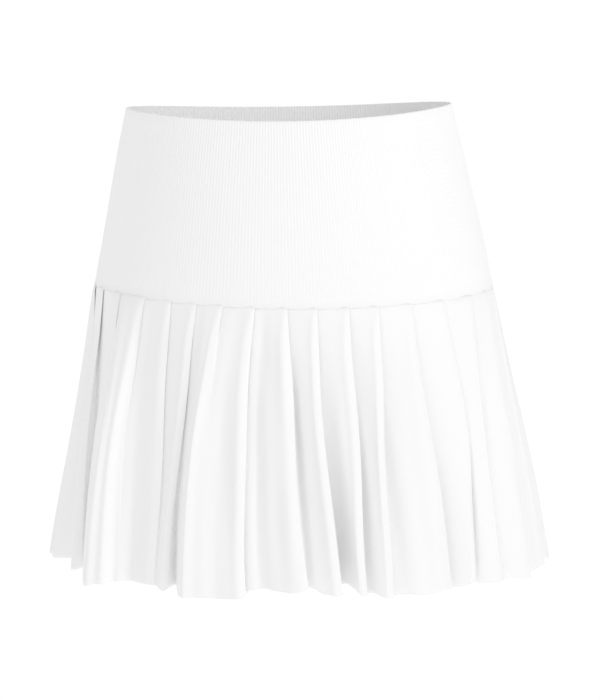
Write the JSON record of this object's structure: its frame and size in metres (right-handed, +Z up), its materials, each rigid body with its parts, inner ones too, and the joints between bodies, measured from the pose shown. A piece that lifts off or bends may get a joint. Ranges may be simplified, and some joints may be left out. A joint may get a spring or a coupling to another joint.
{
  "type": "tennis skirt",
  "caption": "Pull-on tennis skirt, filled out as worn: a rib-knit hip yoke over a knife-pleated skirt with open waist and hem.",
  "frame": {"origin": "middle of the waist opening, at the height of the waist edge at the sides, where the wearer holds the skirt up", "axes": "+Z up out of the waist, the front faces -Y, +X is the right-hand side for someone who faces the front"},
  "size_m": [0.421, 0.327, 0.3872],
  "materials": {
    "rib_knit": "white fine rib knit, matt",
    "pleated_cloth": "white smooth polyester cloth, pressed into knife pleats, faint sheen"
  },
  "bodies": {
    "root": {"yoke_front": "rib_knit", "yoke_back": "rib_knit", "skirt_front": "pleated_cloth", "skirt_back": "pleated_cloth"}
  },
  "joints": []
}
